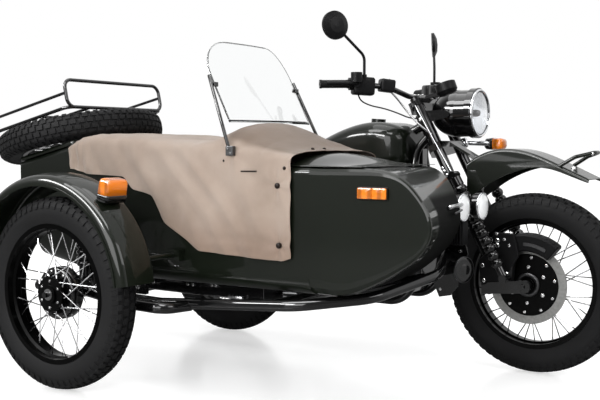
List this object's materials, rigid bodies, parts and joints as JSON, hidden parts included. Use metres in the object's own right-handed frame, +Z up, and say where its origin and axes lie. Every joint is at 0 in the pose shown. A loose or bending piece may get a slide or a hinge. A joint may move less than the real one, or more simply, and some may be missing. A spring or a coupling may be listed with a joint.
{
  "type": "sidecar motorcycle",
  "caption": "Flat-twin motorcycle with a leading-link fork and an attached sidecar with canvas cockpit cover, clear windshield, spare wheel and luggage rack.",
  "frame": {"origin": "on the ground under the middle of the whole rig's box", "axes": "+X forward, +Y left, +Z up"},
  "size_m": [2.4603, 1.7396, 1.3691],
  "materials": {
    "frame_black": "gloss",
    "green_paint": "gloss",
    "cast_alloy": "cast",
    "chrome": "polished",
    "steel": "satin",
    "tyre_rubber": "matt",
    "rubber": "matt",
    "black_plastic": "satin",
    "vinyl": "grained",
    "tan_canvas": "woven",
    "clear_sheet": "clear",
    "lamp_glass": "clear",
    "amber": "translucent",
    "red": "translucent"
  },
  "bodies": {
    "chassis": {"main_frame": "frame_black", "engine": "cast_alloy", "cylinders": "cast_alloy", "intakes": "black_plastic", "exhausts": "chrome", "swingarm": "frame_black", "rear_shocks": "frame_black", "fuel_tank": "green_paint", "seat": "vinyl", "rear_mudguard": "green_paint", "tail_lamp": "red", "crash_bar": "frame_black", "aux_lamps": "chrome", "sidecar_frame": "frame_black", "sidecar_shock": "frame_black", "sidecar_mudguard": "green_paint", "sidecar_lamps": "amber", "sidecar_body": "green_paint", "cover": "tan_canvas", "windshield": "clear_sheet", "windshield_stays": "frame_black"},
    "steering": {"fork": "frame_black", "leading_link": "frame_black", "front_shocks": "frame_black", "front_caliper": "cast_alloy", "handlebar": "frame_black", "grips": "rubber", "bar_controls": "black_plastic", "mirrors": "black_plastic", "headlamp": "black_plastic", "headlamp_lens": "lamp_glass", "instrument": "black_plastic", "front_mudguard": "green_paint", "indicators": "amber"},
    "front_roller": {"front_tyre": "tyre_rubber", "front_wheel": "steel"},
    "rear_roller": {"rear_tyre": "tyre_rubber", "rear_wheel": "steel"},
    "sidecar_roller": {"sidecar_tyre": "tyre_rubber", "sidecar_wheel": "steel"},
    "lid": {"trunk_lid": "green_paint", "spare_tyre": "tyre_rubber", "spare_wheel": "steel", "rack": "frame_black"},
    "stand": {"centre_stand": "frame_black"}
  },
  "joints": [
    {"name": "steering", "type": "hinge", "parent": "chassis", "child": "steering", "pos_m": [0.398, 0.398, 1.002], "axis": [-0.4617, 0, 0.887], "range_deg": [-30, 30]},
    {"name": "front_wheel_spin", "type": "hinge", "parent": "steering", "child": "front_roller", "pos_m": [0.888, 0.398, 0.3425], "axis": [0, 1, 0], "continuous": true},
    {"name": "rear_wheel_spin", "type": "hinge", "parent": "chassis", "child": "rear_roller", "pos_m": [-0.582, 0.398, 0.3425], "axis": [0, 1, 0], "continuous": true},
    {"name": "sidecar_wheel_spin", "type": "hinge", "parent": "chassis", "child": "sidecar_roller", "pos_m": [-0.423, -0.782, 0.3425], "axis": [0, 1, 0], "continuous": true},
    {"name": "trunk_lid_hinge", "type": "hinge", "parent": "chassis", "child": "lid", "pos_m": [-0.93617, 0.398, 0.78632], "axis": [0, -1, 0], "range_deg": [0, 75]},
    {"name": "centre_stand_pivot", "type": "hinge", "parent": "chassis", "child": "stand", "pos_m": [-0.112, 0.398, 0.208], "axis": [0, -1, 0], "range_deg": [0, 95], "stiffness_Nm_per_rad": 6, "springref_deg": -11.46}
  ]
}
